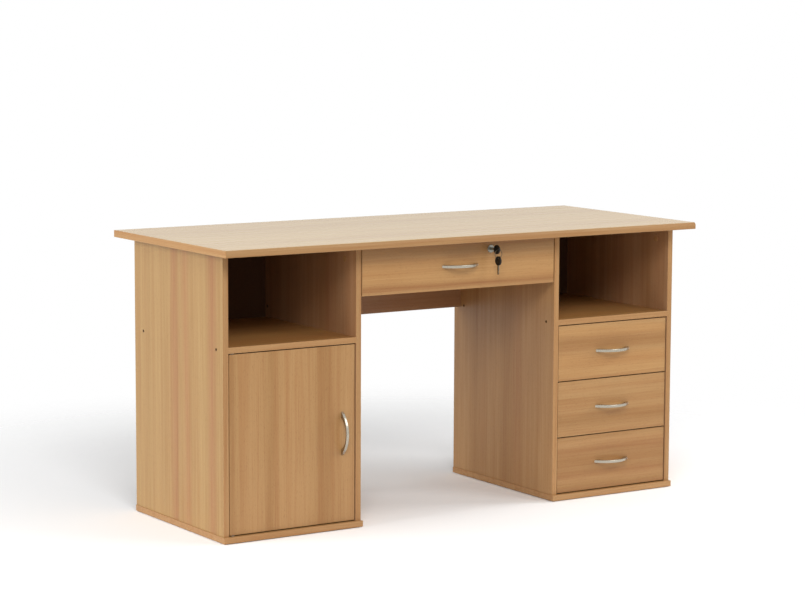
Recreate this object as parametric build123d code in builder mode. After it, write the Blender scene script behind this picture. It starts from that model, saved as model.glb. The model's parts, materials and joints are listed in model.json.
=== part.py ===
"""Teacher desk: two pedestals under one worktop, with a locking drawer between them.

Millimetres. X runs along the desk, -Y is the side that the teacher sits at, Z is up.
The origin is on the floor, under the middle of the worktop.
"""
from math import radians, sin
import os

from build123d import *

# ---------------------------------------------------------------- driving sizes

# Whole desk
desk_width = 1450.0
desk_depth = 600.0
desk_height = 735.0
worktop_thickness = 18.0
board = 15.0                    # melamine-faced chipboard of the pedestals, rail and fronts

# Worktop
edging = 2.0                    # plastic edging on the sides and back of the worktop
nose_radius = 8.0               # rounding along the top of the front edge
nose_lower_radius = 2.0
edging_radius = 1.0

# Pedestals
pedestal_width = 397.0
side_overhang = 27.0            # worktop past the pedestals' outer faces
front_overhang = 65.0           # worktop past the pedestals' front edges
back_overhang = 63.0
compartment_height = 228.0      # open compartment between the worktop and the shelf
base_lip_side = 2.0             # base board past the side panels
base_lip_front = 8.0
back_thickness = 3.0
back_recess = 9.0               # back panel in front of the side panels' back edges
groove_depth = 7.0
groove_slack = 0.2

# Back rail
rail_height = 240.0
rail_recess = 15.0              # rail in front of the side panels' back edges
rail_screw_inset = 41.0         # rail screws from the rail's top and bottom edges

# Door and drawer fronts
front_gap = 3.0
front_recess = 2.0              # door and pedestal drawer fronts behind the panels' front edges
pedestal_drawers = 3
centre_front_height = 123.0

# Drawer boxes
box_board = 12.0
box_side_clearance = 1.0        # between a box and the panel beside it
box_lift = 14.0                 # box above the front's bottom edge
box_drop = 26.0                 # box below the front's top edge
box_back_clearance = 42.0       # behind the box, to the pedestal's back panel
box_back_drop = 8.0             # drawer back below the sides' top edges
bottom_thickness = 4.0
bottom_lift = 8.0               # bottom panel above the sides' bottom edges
bottom_groove = 5.0
bottom_slack = 0.3

# Drawer runners: strips on the panels, in grooves of the boxes
runner_height = 10.0
runner_depth = 7.0
runner_slack = 0.4              # round a strip in its groove
runner_end_gap = 3.0            # strip behind the drawer front

# Bow handles
handle_centres = 96.0
handle_projection = 28.0
handle_bar = 5.5                # thickness at the middle of the bow
handle_width = 8.0
handle_foot = 16.0              # along the handle, with the screw in its middle
handle_round = 1.8
handle_inset = 36.0             # door handle from the door's free edge
handle_bite = 8.0               # screw in the handle's foot

# Screws, dowels and pins
slip = 0.05                     # radial clearance of a fixed fastener in its hole
confirmat_head = 4.0            # radius
confirmat_head_length = 3.0
confirmat_shank = 2.5
confirmat_length = 50.0
hex_socket = 4.0                # across flats
shelf_screw_inset = 35.0        # shelf screws from the shelf's front and back edges
base_screw_inset = 50.0
runner_screw_head = 3.5
runner_screw_head_length = 2.5
runner_screw_shank = 1.8
runner_screw_length = 17.0
runner_screw_inset = 40.0
runner_screw_count = 3
handle_screw_head = 4.0
handle_screw_head_length = 2.5
handle_screw_shank = 2.0
cam_radius = 7.5
cam_thickness = 12.0
cam_drop = 34.0                 # cam's centre below the worktop
cam_inset = 55.0                # cams from the panels' front and back edges
dowel_radius = 3.0
dowel_in_worktop = 11.0

# Feet
glide_height = 2.0
glide_radius = 11.0
glide_inset = 30.0
glide_nail = 1.3
glide_nail_length = 10.0

# Door pivots and catch
pivot_from_edge = 10.0
pivot_radius = 2.5
pivot_in_door = 18.0
pivot_reach = 7.0               # pin inside its bush, past the gap
pivot_running = 0.05            # radial clearance of the pin in its bush
bush_radius = 4.0
bush_flange = 6.0
bush_flange_gap = 0.3           # between a bush's flange and the door
strike_size = (30.0, 12.0)
strike_thickness = 1.2
catch_size = (46.0, 16.0, 14.0)
catch_gap = 0.4
catch_inset = 40.0              # middle of the catch from the door's free edge

# Drawer lock
lock_x = 95.0
lock_drop = 22.5                # lock's axis below the drawer front's top edge
lock_case = (40.0, 16.0, 38.0)
lock_wall = 1.5
lock_nose_radius = 9.0
lock_flange_radius = 10.5
lock_flange = 2.0
plug_radius = 6.0
plug_running = 0.08
drive_radius = 5.5              # drive pin's distance from the lock's axis
drive_pin = 1.5
drive_slack = 0.4               # round the drive pin in the bolt's slot
lock_turn = 90.0                # degrees
bolt_width = 18.0
bolt_thickness = 4.0
bolt_slack = 0.4
keeper_size = (44.0, 16.0)
keeper_thickness = 1.5
keeper_slack = 2.0              # round the bolt in the keeper's slot
keeper_pocket = 12.0

# Keys
key_blade_thickness = 2.0
key_blade_width = 7.0
key_blade_slack = 0.1
keyway_end = 1.0                # solid plug behind the keyway
key_neck = 14.0                 # bare blade between the lock and the bow
bow_width = 24.0
bow_length = 24.0
bow_thickness = 4.4
bow_hole = 2.6
bow_hole_inset = 5.0            # hole's centre from the bow's end
blade_in_bow = 4.0
spare_blade = 24.0
ring_radius = 11.0
ring_wire = 0.8

# ---------------------------------------------------------------- layout

worktop_bottom = desk_height - worktop_thickness
base_top = glide_height + board
panel_front = front_overhang - desk_depth / 2
panel_back = desk_depth / 2 - back_overhang
back_front = panel_back - back_recess - back_thickness
shelf_top = worktop_bottom - compartment_height
shelf_bottom = shelf_top - board
outer_x = desk_width / 2 - side_overhang
inner_x = outer_x - pedestal_width
inside_width = pedestal_width - 2 * board
front_y = panel_front + front_recess
front_back_y = front_y + board
centre_front_back_y = panel_front + board
box_back_y = back_front - box_back_clearance
rail_front = panel_back - rail_recess - board
rail_bottom = worktop_bottom - rail_height
front_width = inside_width - 2 * front_gap
drawer_front_height = (
    (shelf_bottom - base_top - front_gap * (pedestal_drawers + 1)) / pedestal_drawers
)
centre_front_top = worktop_bottom - front_gap
centre_front_bottom = centre_front_top - centre_front_height

os.makedirs("parts", exist_ok=True)


# ---------------------------------------------------------------- helpers

def save(piece, name):
    """Label a finished piece and write it as parts/NAME.step."""
    piece.part.label = name
    export_step(piece.part, f"parts/{name}.step")


def block(low, high, mode=Mode.ADD):
    """Add a box from its low corner to its high corner."""
    middle = [(a + b) / 2 for a, b in zip(low, high)]
    with Locations(tuple(middle)):
        Box(*(b - a for a, b in zip(low, high)), mode=mode)


def rod(point, direction, radius, length, mode=Mode.ADD):
    """Add a cylinder that starts at a point and runs along a direction."""
    with BuildSketch(Plane(origin=point, z_dir=direction), mode=Mode.PRIVATE) as disc:
        Circle(radius)
    extrude(disc.sketch, amount=length, dir=Vector(direction), mode=mode)


def along(point, direction, distance):
    """A point moved along a direction."""
    return tuple(p + d * distance for p, d in zip(point, direction))


def confirmat_hole(point, direction):
    """Cut the stepped hole of one carcass screw, from its head's face."""
    rod(point, direction, confirmat_head + slip, confirmat_head_length + slip, Mode.SUBTRACT)
    rod(point, direction, confirmat_shank + slip, confirmat_length + 1, Mode.SUBTRACT)


def confirmat(point, direction):
    """Add one carcass screw, with a hexagon socket in its head."""
    rod(point, direction, confirmat_head, confirmat_head_length)
    rod(point, direction, confirmat_shank, confirmat_length)
    with BuildSketch(Plane(origin=point, z_dir=direction), mode=Mode.PRIVATE) as socket:
        RegularPolygon(hex_socket / 2, 6, major_radius=False)
    extrude(socket.sketch, amount=2.2, dir=Vector(direction), mode=Mode.SUBTRACT)


# ---------------------------------------------------------------- fastener places

shelf_middle = (shelf_top + shelf_bottom) / 2
shelf_screw_ys = (panel_front + shelf_screw_inset, back_front - shelf_screw_inset)
base_screw_ys = (panel_front + base_screw_inset, panel_back - base_screw_inset)
rail_middle = rail_front + board / 2
rail_screw_zs = (rail_bottom + rail_screw_inset, worktop_bottom - rail_screw_inset)
cam_ys = (panel_front + cam_inset, panel_back - cam_inset)
cam_z = worktop_bottom - cam_drop


def shelf_screws(side):
    """Screws of one pedestal's shelf: (point, direction) at the heads' faces."""
    outer = [((side * outer_x, y, shelf_middle), (-side, 0, 0)) for y in shelf_screw_ys]
    inner = [((side * inner_x, y, shelf_middle), (side, 0, 0)) for y in shelf_screw_ys]
    return outer + inner


def base_screws(side):
    """Screws from below, through one pedestal's base into its side panels."""
    xs = (side * (outer_x - board / 2), side * (inner_x + board / 2))
    return [((x, y, glide_height), (0, 0, 1)) for x in xs for y in base_screw_ys]


def rail_screws(side):
    """Screws from one pedestal's compartment into the end of the back rail."""
    x = side * (inner_x + board)
    return [((x, rail_middle, z), (-side, 0, 0)) for z in rail_screw_zs]


def front_z(index):
    """Bottom and top of a pedestal drawer's front, counted from the top."""
    top = shelf_bottom - front_gap - index * (drawer_front_height + front_gap)
    return top - drawer_front_height, top


def runner_z(front_bottom, front_top):
    """Middle of a drawer's runner strips, at mid height of its box."""
    return (front_bottom + box_lift + front_top - box_drop) / 2


runner_front = front_back_y + runner_end_gap
runner_screw_pitch = (box_back_y - runner_front - 2 * runner_screw_inset) / (runner_screw_count - 1)
runner_screw_ys = [
    runner_front + runner_screw_inset + i * runner_screw_pitch for i in range(runner_screw_count)
]
pedestal_runner_zs = [runner_z(*front_z(i)) for i in range(pedestal_drawers)]
centre_runner_z = runner_z(centre_front_bottom, centre_front_top)


def runner_screws():
    """Every runner screw: (point, direction) at its head's face."""
    faces = [(inner_x + board, 1), (outer_x - board, -1)]
    places = [(x, inward, z) for x, inward in faces for z in pedestal_runner_zs]
    places += [(-inner_x, 1, centre_runner_z), (inner_x, -1, centre_runner_z)]
    return [
        ((x + inward * runner_depth, y, z), (-inward, 0, 0))
        for x, inward, z in places
        for y in runner_screw_ys
    ]


def runner_screw_holes():
    """Cut the holes of every runner screw out of the piece being made."""
    for point, direction in runner_screws():
        head_end = runner_screw_head_length + slip
        rod(point, direction, runner_screw_head + slip, head_end, Mode.SUBTRACT)
        rod(point, direction, runner_screw_shank + slip, runner_screw_length + 1, Mode.SUBTRACT)


# ---------------------------------------------------------------- worktop

lock_y = panel_front
lock_z = centre_front_top - lock_drop
bolt_y = centre_front_back_y + lock_wall + 5.0          # front face of the bolt


def worktop_outline():
    """Side view of the worktop, with its rounded front edge."""
    with BuildSketch(Plane.YZ, mode=Mode.PRIVATE) as outline:
        with BuildLine():
            front, back = -desk_depth / 2, desk_depth / 2 - edging
            Polyline(
                (back, worktop_bottom),
                (front, worktop_bottom),
                (front, desk_height),
                (back, desk_height),
                close=True,
            )
        make_face()
        nose = outline.vertices().group_by(Axis.X)[0].sort_by(Axis.Y)
        fillet(nose[-1], nose_radius)
        fillet(outline.vertices().group_by(Axis.X)[0].sort_by(Axis.Y)[0], nose_lower_radius)
    return outline.sketch


with BuildPart() as worktop_board:
    extrude(worktop_outline(), amount=desk_width / 2 - edging, both=True)
    for side in (-1, 1):
        for x in (outer_x - board / 2, inner_x + board / 2):
            for y in cam_ys:
                start = (side * x, y, worktop_bottom)
                rod(start, (0, 0, 1), dowel_radius + slip, dowel_in_worktop + 1, Mode.SUBTRACT)
    pocket = keeper_pocket + keeper_thickness
    plate_x, plate_y = keeper_size[0] / 2, keeper_size[1] / 2
    slot_x = bolt_width / 2 + keeper_slack
    slot_y = bolt_thickness / 2 + keeper_slack
    bolt_middle = bolt_y + bolt_thickness / 2
    block(
        (lock_x - plate_x - slip, bolt_middle - plate_y - slip, worktop_bottom),
        (lock_x + plate_x + slip, bolt_middle + plate_y + slip, worktop_bottom + keeper_thickness),
        Mode.SUBTRACT,
    )
    block(
        (lock_x - slot_x, bolt_middle - slot_y, worktop_bottom),
        (lock_x + slot_x, bolt_middle + slot_y, worktop_bottom + pocket),
        Mode.SUBTRACT,
    )
save(worktop_board, "worktop_board")

with BuildPart() as worktop_edging:
    for side in (-1, 1):
        with BuildPart(mode=Mode.PRIVATE) as strip:
            extrude(worktop_outline(), amount=edging, dir=Vector(side, 0, 0))
            block(
                (min(0, side * edging), desk_depth / 2 - edging, worktop_bottom),
                (max(0, side * edging), desk_depth / 2, desk_height),
            )
            outer_face = strip.faces().sort_by(Axis.X)[0 if side < 0 else -1]
            long_edges = outer_face.edges().filter_by(Axis.Y)
            fillet(long_edges, edging_radius)
        add(strip.part.moved(Location((side * (desk_width / 2 - edging), 0, 0))))
    block(
        (edging + slip - desk_width / 2, desk_depth / 2 - edging, worktop_bottom),
        (desk_width / 2 - edging - slip, desk_depth / 2, desk_height),
    )
save(worktop_edging, "worktop_edging")

with BuildPart() as lock_keeper:
    block(
        (lock_x - plate_x, bolt_middle - plate_y, worktop_bottom),
        (lock_x + plate_x, bolt_middle + plate_y, worktop_bottom + keeper_thickness),
    )
    fillet(lock_keeper.edges().filter_by(Axis.Z), 3.0)
    block(
        (lock_x - slot_x, bolt_middle - slot_y, worktop_bottom),
        (lock_x + slot_x, bolt_middle + slot_y, worktop_bottom + keeper_thickness),
        Mode.SUBTRACT,
    )
    for side in (-1, 1):
        with Locations((lock_x + side * (plate_x - 5), bolt_middle, worktop_bottom)):
            Cylinder(1.6, 4 * keeper_thickness, mode=Mode.SUBTRACT)
save(lock_keeper, "lock_keeper")


# ---------------------------------------------------------------- pedestal panels

def side_panel(name, side, x_low):
    """A pedestal's side panel: its inner face has the back's groove and the cam holes."""
    x_high = x_low + board
    is_outer = abs(x_low + board / 2) > outer_x - board
    inward = -side if is_outer else side
    inner_face = x_high if inward > 0 else x_low
    with BuildPart() as panel:
        block((x_low, panel_front, base_top), (x_high, panel_back, worktop_bottom))
        groove_end = inner_face - inward * groove_depth
        block(
            (min(inner_face, groove_end), back_front - groove_slack / 2, base_top),
            (
                max(inner_face, groove_end),
                back_front + back_thickness + groove_slack / 2,
                worktop_bottom,
            ),
            Mode.SUBTRACT,
        )
        for y in cam_ys:
            rod((inner_face, y, cam_z), (-inward, 0, 0), cam_radius + slip, cam_thickness + slip,
                Mode.SUBTRACT)
            rod((x_low + board / 2, y, worktop_bottom), (0, 0, -1), dowel_radius + slip, cam_drop,
                Mode.SUBTRACT)
        for point, direction in shelf_screws(side) + base_screws(side):
            confirmat_hole(point, direction)
        if not is_outer:
            for point, direction in rail_screws(side):
                confirmat_hole(point, direction)
        runner_screw_holes()
    save(panel, name)


side_panel("left_outer_side", -1, -outer_x)
side_panel("left_inner_side", -1, -inner_x - board)
side_panel("right_inner_side", 1, inner_x)
side_panel("right_outer_side", 1, outer_x - board)

# The door hangs on two pins, near its left edge, that turn in bushes
door_left = -outer_x + board + front_gap
door_right = door_left + front_width
door_bottom = base_top + front_gap
door_top = shelf_bottom - front_gap
pivot_x = door_left + pivot_from_edge
pivot_y = front_y + board / 2
bush_length = pivot_reach + 3.0
bush_ends = [(door_bottom, base_top, -1), (door_top, shelf_bottom, 1)]


def bush_holes():
    """Cut the holes of the door's two bushes."""
    for _, face, up in bush_ends:
        rod((pivot_x, pivot_y, face), (0, 0, up), bush_radius + slip, bush_length + slip,
            Mode.SUBTRACT)


for name, side in (("left", -1), ("right", 1)):
    x_middle = side * (outer_x + inner_x) / 2

    with BuildPart() as shelf:
        block(
            (x_middle - inside_width / 2, panel_front, shelf_bottom),
            (x_middle + inside_width / 2, back_front, shelf_top),
        )
        for point, direction in shelf_screws(side):
            confirmat_hole(point, direction)
        bush_holes()
    save(shelf, f"{name}_shelf")

    with BuildPart() as base:
        half_width = pedestal_width / 2 + base_lip_side
        block(
            (x_middle - half_width, panel_front - base_lip_front, glide_height),
            (x_middle + half_width, panel_back, base_top),
        )
        for point, direction in base_screws(side):
            confirmat_hole(point, direction)
        glide_x = half_width - glide_inset
        glide_ys = (panel_front - base_lip_front + glide_inset, panel_back - glide_inset)
        for x in (x_middle - glide_x, x_middle + glide_x):
            for y in glide_ys:
                rod((x, y, glide_height), (0, 0, 1), glide_nail + slip, glide_nail_length + slip,
                    Mode.SUBTRACT)
        bush_holes()
    save(base, f"{name}_base")

    with BuildPart() as back:
        reach = inside_width / 2 + groove_depth - 0.5
        block(
            (x_middle - reach, back_front, base_top),
            (x_middle + reach, back_front + back_thickness, worktop_bottom - 0.5),
        )
    save(back, f"{name}_back")

with BuildPart() as back_rail:
    block((-inner_x, rail_front, rail_bottom), (inner_x, rail_front + board, worktop_bottom))
    for side in (-1, 1):
        for point, direction in rail_screws(side):
            confirmat_hole(point, direction)
save(back_rail, "back_rail")

# ---------------------------------------------------------------- carcass fittings

with BuildPart() as carcass_screws:
    for side in (-1, 1):
        for point, direction in shelf_screws(side) + base_screws(side) + rail_screws(side):
            confirmat(point, direction)
save(carcass_screws, "carcass_screws")

with BuildPart() as worktop_cams:
    for side in (-1, 1):
        for face, inward in ((outer_x - board, -1), (inner_x + board, 1)):
            for y in cam_ys:
                point = (side * face, y, cam_z)
                outward = (-side * inward, 0, 0)
                rod(point, outward, cam_radius, cam_thickness)
                with BuildSketch(Plane(origin=point, z_dir=outward), mode=Mode.PRIVATE) as cross:
                    Rectangle(7.0, 1.6)
                    Rectangle(1.6, 7.0)
                extrude(cross.sketch, amount=2.5, dir=Vector(outward), mode=Mode.SUBTRACT)
save(worktop_cams, "worktop_cams")

with BuildPart() as worktop_dowels:
    dowel_bottom = cam_z + cam_radius + 0.3
    for side in (-1, 1):
        for x in (outer_x - board / 2, inner_x + board / 2):
            for y in cam_ys:
                length = worktop_bottom + dowel_in_worktop - dowel_bottom
                rod((side * x, y, dowel_bottom), (0, 0, 1), dowel_radius, length)
save(worktop_dowels, "worktop_dowels")

with BuildPart() as glides:
    for side in (-1, 1):
        x_middle = side * (outer_x + inner_x) / 2
        for x in (x_middle - glide_x, x_middle + glide_x):
            for y in glide_ys:
                rod((x, y, 0), (0, 0, 1), glide_radius, glide_height)
                rod((x, y, 0), (0, 0, 1), glide_nail, glide_height + glide_nail_length)
    rims = glides.edges().filter_by(GeomType.CIRCLE).group_by(Axis.Z)[0]
    fillet(rims, 1.0)
save(glides, "glides")

with BuildPart() as door_pivot_bushes:
    for door_edge, face, up in bush_ends:
        flange_thickness = front_gap - bush_flange_gap
        rod((pivot_x, pivot_y, face), (0, 0, -up), bush_flange, flange_thickness)
        rod((pivot_x, pivot_y, face), (0, 0, up), bush_radius, bush_length)
        rod((pivot_x, pivot_y, door_edge), (0, 0, up), pivot_radius + pivot_running,
            front_gap + pivot_reach + 1.0, Mode.SUBTRACT)
save(door_pivot_bushes, "door_pivot_bushes")

catch_x = door_right - catch_inset
catch_y = front_back_y + strike_thickness + catch_gap
with BuildPart() as magnetic_catch:
    block(
        (catch_x - catch_size[0] / 2, catch_y, shelf_bottom - catch_size[2]),
        (catch_x + catch_size[0] / 2, catch_y + catch_size[1], shelf_bottom),
    )
    fillet(magnetic_catch.edges().filter_by(Axis.Y), 2.0)
save(magnetic_catch, "magnetic_catch")


# ---------------------------------------------------------------- runners

def runner_strips(name, faces, heights):
    """Runner strips on panels' faces, each screwed on through its countersunk holes."""
    with BuildPart() as strips:
        for x, inward in faces:
            for z in heights:
                ends = (x, x + inward * runner_depth)
                block(
                    (min(ends), runner_front, z - runner_height / 2),
                    (max(ends), box_back_y, z + runner_height / 2),
                )
        tips = strips.edges().filter_by(Axis.X)
        fillet(tips, 2.0)
        runner_screw_holes()
    save(strips, name)


runner_strips(
    "right_runners",
    ((inner_x + board, 1), (outer_x - board, -1)),
    pedestal_runner_zs,
)
runner_strips("centre_runners", ((-inner_x, 1), (inner_x, -1)), [centre_runner_z])

with BuildPart() as runner_screw_set:
    for point, direction in runner_screws():
        with BuildSketch(Plane(origin=point, z_dir=direction), mode=Mode.PRIVATE) as cross:
            Rectangle(3.6, 0.9)
            Rectangle(0.9, 3.6)
        rod(point, direction, runner_screw_head, runner_screw_head_length)
        rod(point, direction, runner_screw_shank, runner_screw_length)
        extrude(cross.sketch, amount=1.4, dir=Vector(direction), mode=Mode.SUBTRACT)
save(runner_screw_set, "runner_screws")


# ---------------------------------------------------------------- handles

def bow_outline():
    """Plan of a bow handle on its front: X along it, Y out of the front."""
    with BuildSketch(mode=Mode.PRIVATE) as outline:
        with BuildLine():
            half = (handle_centres + handle_foot) / 2
            inside = half - handle_foot
            ThreePointArc((-half, 0), (0, handle_projection), (half, 0))
            Line((half, 0), (inside, 0))
            ThreePointArc((inside, 0), (0, handle_projection - handle_bar), (-inside, 0))
            Line((-inside, 0), (-half, 0))
        make_face()
    return outline.sketch


def handle_plane(centre, is_upright):
    """Plane of the bow: X along the handle, Y out of the front, centred on its feet."""
    length_dir = Vector(0, 0, 1) if is_upright else Vector(1, 0, 0)
    out = Vector(0, -1, 0)
    return Plane(origin=centre, x_dir=length_dir, z_dir=length_dir.cross(out))


def handle_screw_points(centre, is_upright):
    """Centres of the handle's two screws on the front's face."""
    half = handle_centres / 2
    x, y, z = centre
    if is_upright:
        return [(x, y, z - half), (x, y, z + half)]
    return [(x - half, y, z), (x + half, y, z)]


def bow_handle(name, centre, is_upright=False):
    """A bow handle, with blind threaded holes in its feet."""
    plane = handle_plane(centre, is_upright)
    with BuildPart() as handle:
        extrude(plane * bow_outline(), amount=handle_width / 2, both=True)
        rims = handle.edges().filter_by(GeomType.CIRCLE)
        fillet(rims, handle_round)
        for point in handle_screw_points(centre, is_upright):
            rod(point, (0, -1, 0), handle_screw_shank + slip, handle_bite + slip, Mode.SUBTRACT)
    save(handle, name)


def handle_screws(name, centre, is_upright=False):
    """The two screws that hold a handle from the back of its front."""
    with BuildPart() as screws:
        for point in handle_screw_points(centre, is_upright):
            head_face = along(point, (0, 1, 0), board)
            rod(head_face, (0, 1, 0), handle_screw_head, handle_screw_head_length)
            rod(head_face, (0, -1, 0), handle_screw_shank, board + handle_bite)
            slot_plane = Plane(origin=along(head_face, (0, 1, 0), handle_screw_head_length),
                               z_dir=(0, -1, 0))
            with BuildSketch(slot_plane, mode=Mode.PRIVATE) as cross:
                Rectangle(4.4, 1.0)
                Rectangle(1.0, 4.4)
            extrude(cross.sketch, amount=1.5, dir=Vector(0, -1, 0), mode=Mode.SUBTRACT)
    save(screws, name)


def handle_screw_holes(centre, is_upright=False):
    """Cut the handle's two screw holes through the front being made."""
    for point in handle_screw_points(centre, is_upright):
        rod(point, (0, 1, 0), handle_screw_shank + slip, board, Mode.SUBTRACT)


# ---------------------------------------------------------------- door

door_handle_centre = (door_right - handle_inset, front_y, (door_bottom + door_top) / 2)

with BuildPart() as door_panel:
    block((door_left, front_y, door_bottom), (door_right, front_back_y, door_top))
    for door_edge, _, up in bush_ends:
        rod((pivot_x, pivot_y, door_edge), (0, 0, -up), pivot_radius + slip, pivot_in_door + slip,
            Mode.SUBTRACT)
    handle_screw_holes(door_handle_centre, is_upright=True)
save(door_panel, "door_panel")

with BuildPart() as door_pivot_pins:
    for door_edge, _, up in bush_ends:
        start = (pivot_x, pivot_y, door_edge - up * pivot_in_door)
        rod(start, (0, 0, up), pivot_radius, pivot_in_door + front_gap + pivot_reach)
save(door_pivot_pins, "door_pivot_pins")

with BuildPart() as door_strike_plate:
    strike_z = shelf_bottom - catch_size[2] / 2
    block(
        (catch_x - strike_size[0] / 2, front_back_y, strike_z - strike_size[1] / 2 - front_gap),
        (
            catch_x + strike_size[0] / 2,
            front_back_y + strike_thickness,
            strike_z + strike_size[1] / 2 - front_gap,
        ),
    )
save(door_strike_plate, "door_strike_plate")

bow_handle("door_handle", door_handle_centre, is_upright=True)
handle_screws("door_handle_screws", door_handle_centre, is_upright=True)


# ---------------------------------------------------------------- drawers

def drawer(name, x_middle, opening_width, front_low, front_high, face_y, lock_hole=False):
    """A drawer: its front, grooved box and handle. Returns nothing; writes each piece."""
    front_half = opening_width / 2 - front_gap
    box_half = opening_width / 2 - box_side_clearance
    inner_half = box_half - box_board
    back_of_front = face_y + board
    low = front_low + box_lift
    high = front_high - box_drop
    floor_z = low + bottom_lift
    handle_centre = (x_middle, face_y, (front_low + front_high) / 2)
    floor_reach = inner_half + bottom_groove - bottom_slack
    groove_half = runner_height / 2 + runner_slack

    with BuildPart() as front:
        block((x_middle - front_half, face_y, front_low),
              (x_middle + front_half, back_of_front, front_high))
        block((x_middle - floor_reach - bottom_slack, back_of_front - bottom_groove, floor_z),
              (x_middle + floor_reach + bottom_slack, back_of_front,
               floor_z + bottom_thickness + bottom_slack), Mode.SUBTRACT)
        handle_screw_holes(handle_centre)
        if lock_hole:
            rod((lock_x, face_y, lock_z), (0, 1, 0), lock_nose_radius + slip, board, Mode.SUBTRACT)
    save(front, f"{name}_front")

    with BuildPart() as sides:
        for side in (-1, 1):
            outside = x_middle + side * box_half
            inside = x_middle + side * inner_half
            xs = sorted((outside, inside))
            block((xs[0], back_of_front, low), (xs[1], box_back_y, high))
            groove_x = outside - side * (runner_depth - box_side_clearance + runner_slack)
            xs = sorted((outside, groove_x))
            middle = runner_z(front_low, front_high)
            block((xs[0], back_of_front, middle - groove_half),
                  (xs[1], box_back_y, middle + groove_half), Mode.SUBTRACT)
            xs = sorted((inside, inside + side * bottom_groove))
            block((xs[0], back_of_front, floor_z),
                  (xs[1], box_back_y, floor_z + bottom_thickness + bottom_slack), Mode.SUBTRACT)
    save(sides, f"{name}_sides")

    with BuildPart() as back:
        block((x_middle - inner_half, box_back_y - box_board, floor_z + bottom_thickness),
              (x_middle + inner_half, box_back_y, high - box_back_drop))
    save(back, f"{name}_back")

    with BuildPart() as bottom:
        block((x_middle - floor_reach, back_of_front - bottom_groove + bottom_slack, floor_z),
              (x_middle + floor_reach, box_back_y, floor_z + bottom_thickness))
    save(bottom, f"{name}_bottom")

    bow_handle(f"{name}_handle", handle_centre)
    handle_screws(f"{name}_handle_screws", handle_centre)


right_middle = (outer_x + inner_x) / 2
for index, name in enumerate(("upper_drawer", "middle_drawer", "lower_drawer")):
    drawer(name, right_middle, inside_width, *front_z(index), front_y)
drawer("centre_drawer", 0.0, 2 * inner_x, centre_front_bottom, centre_front_top, panel_front,
       lock_hole=True)

# ---------------------------------------------------------------- drawer lock

case_x, case_y, case_z = lock_case
case_top = centre_front_top - 3.0
case_front = centre_front_back_y
case_back = case_front + case_y
drive_offset = drive_radius * sin(radians(lock_turn / 2))
drive_x = lock_x - drive_offset
drive_z = lock_z - drive_offset
plug_front = lock_y - lock_flange
plug_back = bolt_y - bolt_slack / 2
keyway_back = plug_back - keyway_end
bolt_lift = 2 * drive_offset

with BuildPart() as lock_body:
    block((lock_x - case_x / 2, case_front, case_top - case_z),
          (lock_x + case_x / 2, case_back, case_top))
    fillet(lock_body.edges().filter_by(Axis.Y), 3.0)
    cavity_x = bolt_width / 2 + bolt_slack
    block((lock_x - cavity_x, bolt_y - bolt_slack, case_top - case_z + lock_wall),
          (lock_x + cavity_x, bolt_y + bolt_thickness + bolt_slack, case_top), Mode.SUBTRACT)
    rod((lock_x, case_front, lock_z), (0, -1, 0), lock_nose_radius, board + lock_flange)
    rod((lock_x, lock_y, lock_z), (0, -1, 0), lock_flange_radius, lock_flange)
    rod((lock_x, plug_front, lock_z), (0, 1, 0), plug_radius + plug_running,
        bolt_y - plug_front, Mode.SUBTRACT)
    rim = lock_body.edges().filter_by(GeomType.CIRCLE).sort_by(Axis.Y)[:2].sort_by(SortBy.RADIUS)
    fillet(rim[-1], 1.2)
    for x_side in (-1, 1):
        for z_side in (-1, 1):
            corner = (lock_x + x_side * (case_x / 2 - 5), case_front,
                      case_top - case_z / 2 + z_side * (case_z / 2 - 5))
            rod(corner, (0, 1, 0), 1.6 + slip, case_y, Mode.SUBTRACT)
save(lock_body, "lock_body")

with BuildPart() as lock_screws:
    for x_side in (-1, 1):
        for z_side in (-1, 1):
            corner = (lock_x + x_side * (case_x / 2 - 5), case_back,
                      case_top - case_z / 2 + z_side * (case_z / 2 - 5))
            rod(corner, (0, 1, 0), 2.8, 1.8)
            rod(corner, (0, -1, 0), 1.6, case_y)
save(lock_screws, "lock_screws")

with BuildPart() as lock_plug:
    rod((lock_x, plug_front, lock_z), (0, 1, 0), plug_radius, plug_back - plug_front)
    rod((drive_x, plug_back, drive_z), (0, 1, 0), drive_pin, bolt_thickness + bolt_slack)
    keyway_x = key_blade_thickness / 2 + key_blade_slack
    keyway_z = key_blade_width / 2 + key_blade_slack
    block((lock_x - keyway_x, plug_front, lock_z - keyway_z),
          (lock_x + keyway_x, keyway_back, lock_z + keyway_z), Mode.SUBTRACT)
save(lock_plug, "lock_plug")

with BuildPart() as lock_bolt:
    bolt_top = worktop_bottom - front_gap
    block((lock_x - bolt_width / 2, bolt_y, case_top - case_z + lock_wall + bolt_slack),
          (lock_x + bolt_width / 2, bolt_y + bolt_thickness, bolt_top))
    slot_low = lock_x - drive_radius - drive_pin - drive_slack
    slot_high = drive_x + drive_pin + drive_slack
    block((slot_low, bolt_y, drive_z - drive_pin - drive_slack),
          (slot_high, bolt_y + bolt_thickness, drive_z + drive_pin + drive_slack), Mode.SUBTRACT)
save(lock_bolt, "lock_bolt")


# ---------------------------------------------------------------- keys

def bow_sketch(plane):
    """A key's rounded bow, with its ring hole near the end. Y runs towards the blade."""
    with BuildSketch(plane, mode=Mode.PRIVATE) as bow:
        Ellipse(bow_width / 2, bow_length / 2)
        with Locations((0, bow_hole_inset - bow_length / 2)):
            Circle(bow_hole, mode=Mode.SUBTRACT)
    return bow.sketch


bow_back = plug_front - key_neck
bow_middle = bow_back - bow_length / 2
ring_hole_y = bow_middle - bow_length / 2 + bow_hole_inset

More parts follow.
